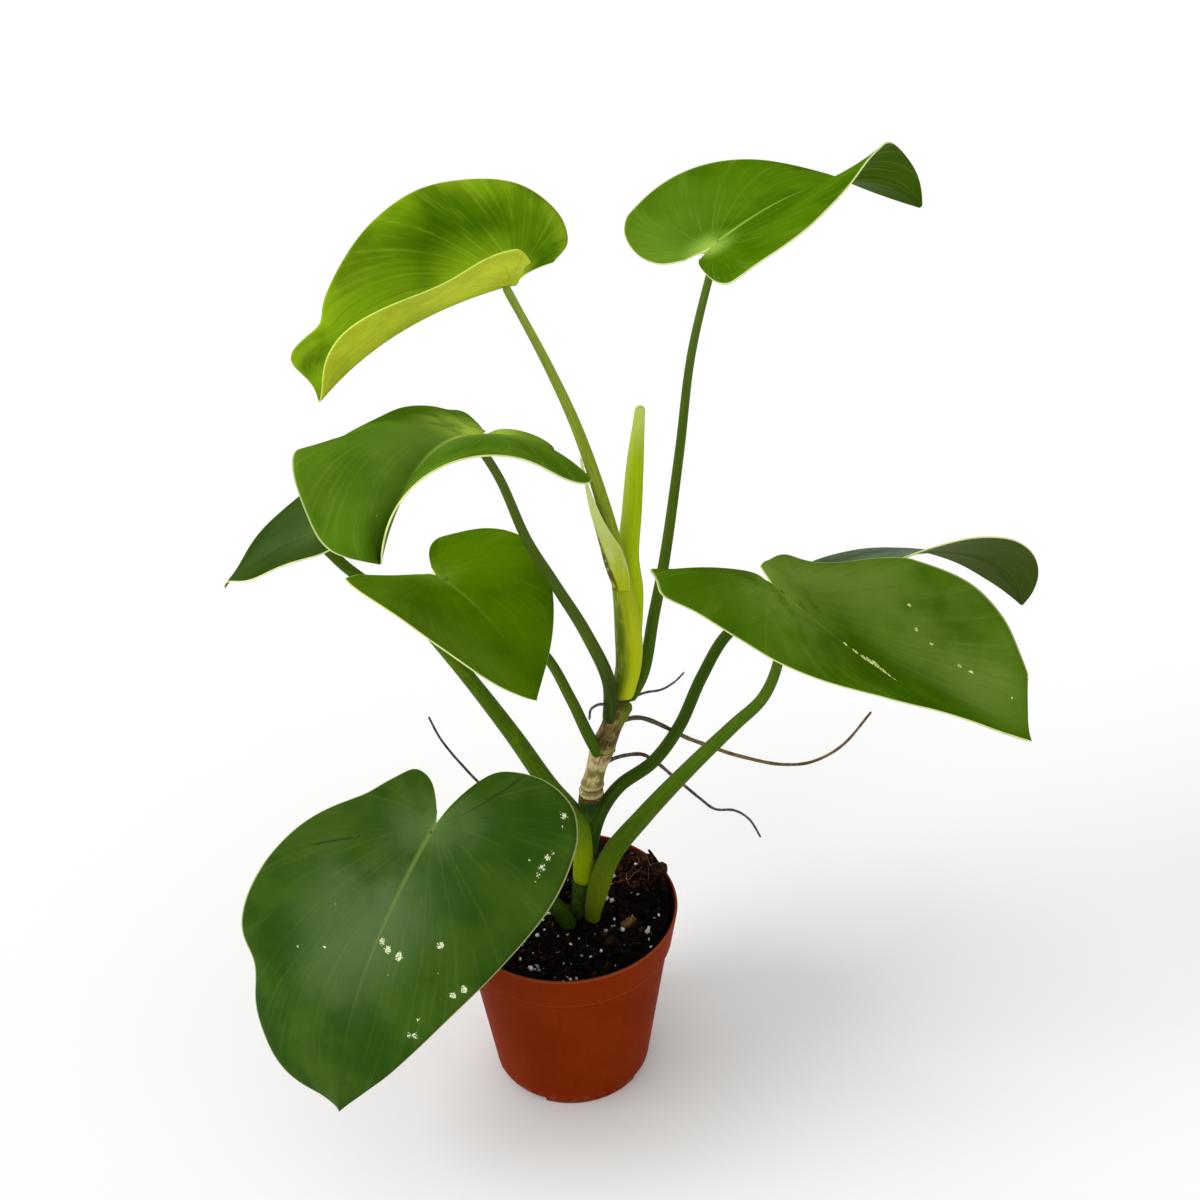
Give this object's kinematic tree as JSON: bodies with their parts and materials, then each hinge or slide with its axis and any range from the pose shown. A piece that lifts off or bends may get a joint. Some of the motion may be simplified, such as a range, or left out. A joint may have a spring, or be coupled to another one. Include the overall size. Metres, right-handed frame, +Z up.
{
  "type": "potted philodendron rugosum",
  "caption": "Young climbing aroid with heart-shaped leaves on long petioles, a rolled new leaf and aerial roots, in a round plastic nursery pot with dark potting mix",
  "frame": {"origin": "centre of the pot's base, on the surface it stands on", "axes": "+Z up, +X to the right in the picture, -Y towards the viewer"},
  "size_m": [0.4381, 0.2537, 0.4961],
  "materials": {
    "pot": "terracotta-coloured moulded polypropylene, satin, slightly dusty",
    "stem": "green at the foot, pale brown and papery between its rings above",
    "new_leaf": "smooth pale yellow-green rolled blade",
    "bract": "thin drying sheath, pale green with a brown edge",
    "petiole_young": "smooth yellow-green, widening to a sheath at the foot",
    "petiole": "smooth waxy mid green with fine lengthwise streaks",
    "blade_young": "waxy bright yellow-green, fine radiating veins",
    "blade_fresh": "waxy fresh green, pale veins at the sinus",
    "blade": "waxy mid green with fine radiating veins and a pale margin",
    "blade_old": "waxy dark green with a soft grey sheen and mineral flecks",
    "root": "dry tan-brown to grey skin",
    "potting_mix": "moist black peat and coir with white perlite",
    "bark": "rough brown pine bark"
  },
  "bodies": {
    "root": {"pot": "pot", "stem": "stem", "new_leaf": "new_leaf", "bract": "bract", "leaf_1_petiole": "petiole_young", "leaf_2_petiole": "petiole", "leaf_3_petiole": "petiole", "leaf_4_petiole": "petiole", "leaf_5_petiole": "petiole", "leaf_6_petiole": "petiole", "leaf_7_petiole": "petiole", "leaf_8_petiole": "petiole", "leaf_1_blade": "blade_young", "leaf_2_blade": "blade_fresh", "leaf_3_blade": "blade", "leaf_4_blade": "blade_old", "leaf_5_blade": "blade", "leaf_6_blade": "blade_old", "leaf_7_blade": "blade", "leaf_8_blade": "blade_old", "aerial_root_1": "root", "aerial_root_2": "root", "aerial_root_3": "root", "aerial_root_4": "root", "aerial_root_5": "root", "potting_mix": "potting_mix", "bark_chip_1": "bark", "bark_chip_2": "bark", "bark_splinter": "bark"}
  },
  "joints": []
}
